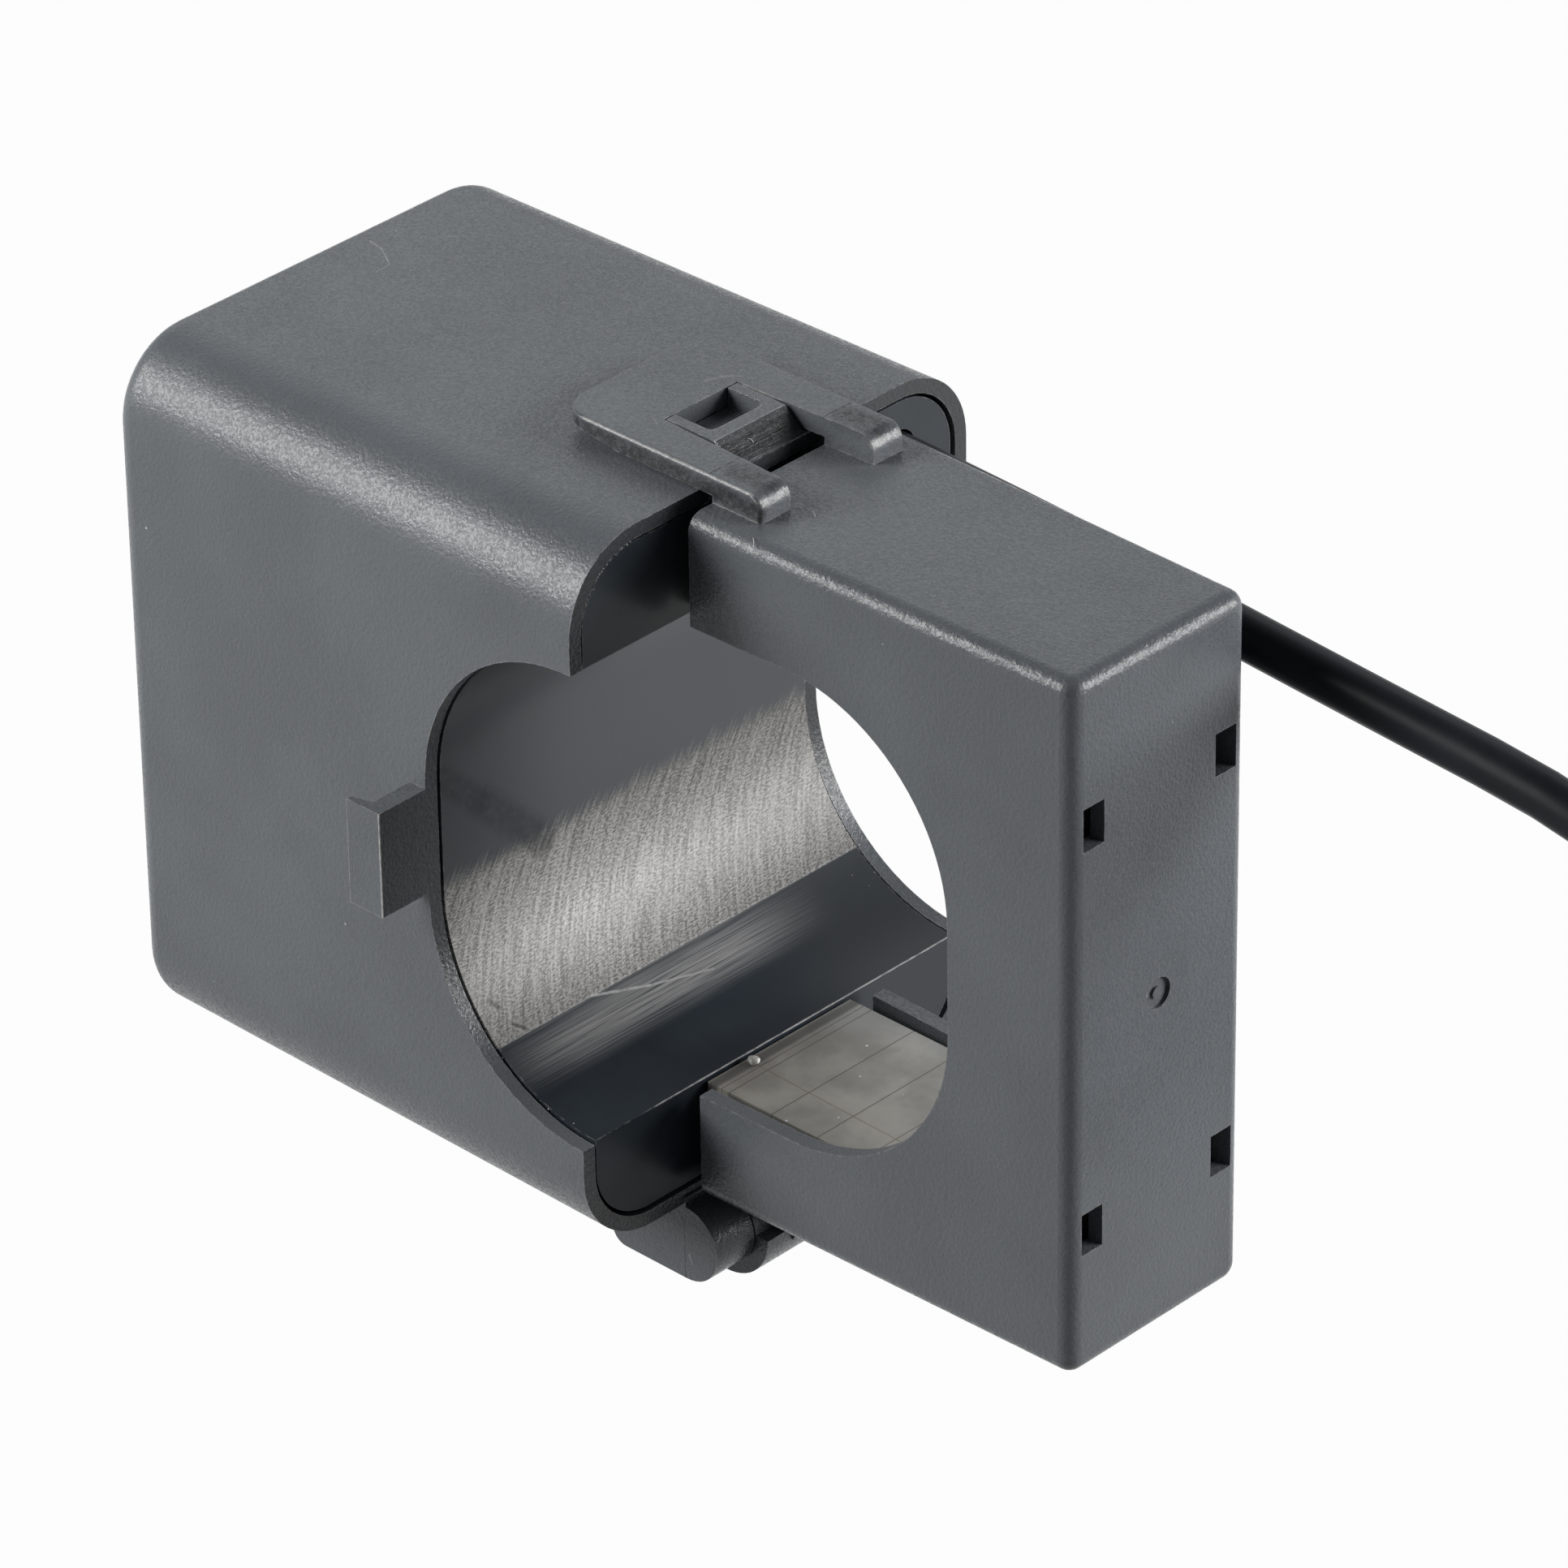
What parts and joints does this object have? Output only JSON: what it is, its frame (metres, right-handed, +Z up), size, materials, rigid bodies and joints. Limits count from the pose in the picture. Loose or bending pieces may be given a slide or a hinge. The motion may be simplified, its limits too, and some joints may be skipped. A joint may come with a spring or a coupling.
{
  "type": "current transformer",
  "caption": "Split-core current transformer: a deep housing and a hinged jaw that snap shut round a conductor, with an output cable coiled beside it.",
  "frame": {"origin": "middle of the conductor window on the plane where the two halves meet, at mid-height and mid-width", "axes": "+X from the deep housing towards the hinged jaw, +Y along the conductor, +Z up, from the hinge towards the latch"},
  "size_m": [0.1527, 0.0788, 0.0662],
  "materials": {
    "housing_plastic": "fine spark-eroded grain, slate grey",
    "liner_plastic": "smoother bore, slate grey",
    "core_steel": "satin, coated strip",
    "former_plastic": "natural nylon",
    "winding_copper": "enamelled wire",
    "winding_tape": "polyester film tape",
    "pad_foam": "closed-cell foam",
    "light_insulation": "white wire insulation",
    "dark_insulation": "black wire insulation",
    "sleeve_rubber": "shrink sleeve",
    "tie_nylon": "natural nylon tie",
    "pin_steel": "plain steel",
    "cable_jacket": "satin black jacket",
    "coil_tie": "plastic-coated twist tie",
    "tinned_wire": "tinned strands"
  },
  "bodies": {
    "housing": {"body_shell": "housing_plastic", "body_liner": "liner_plastic", "body_core": "core_steel", "former_front": "former_plastic", "former_back": "former_plastic", "secondary_winding": "winding_copper", "winding_tape": "winding_tape", "rear_pad": "pad_foam", "front_pad": "pad_foam", "lead_start": "light_insulation", "lead_finish": "dark_insulation", "sleeve_start": "sleeve_rubber", "sleeve_finish": "sleeve_rubber", "strain_tie": "tie_nylon", "hinge_pin": "pin_steel", "output_cable": "cable_jacket", "cable_coil": "cable_jacket", "cable_tail": "cable_jacket", "coil_tie": "coil_tie", "core_wire_dark": "dark_insulation", "core_wire_light": "light_insulation", "wire_tip_dark": "tinned_wire", "wire_tip_light": "tinned_wire"},
    "jaw": {"jaw_shell": "housing_plastic", "jaw_core": "core_steel", "jaw_pad": "pad_foam"}
  },
  "joints": [
    {"name": "jaw_hinge", "type": "hinge", "parent": "housing", "child": "jaw", "pos_m": [0.0002, 0, -0.03175], "axis": [0, 1, 0], "range_deg": [0, 95]}
  ]
}
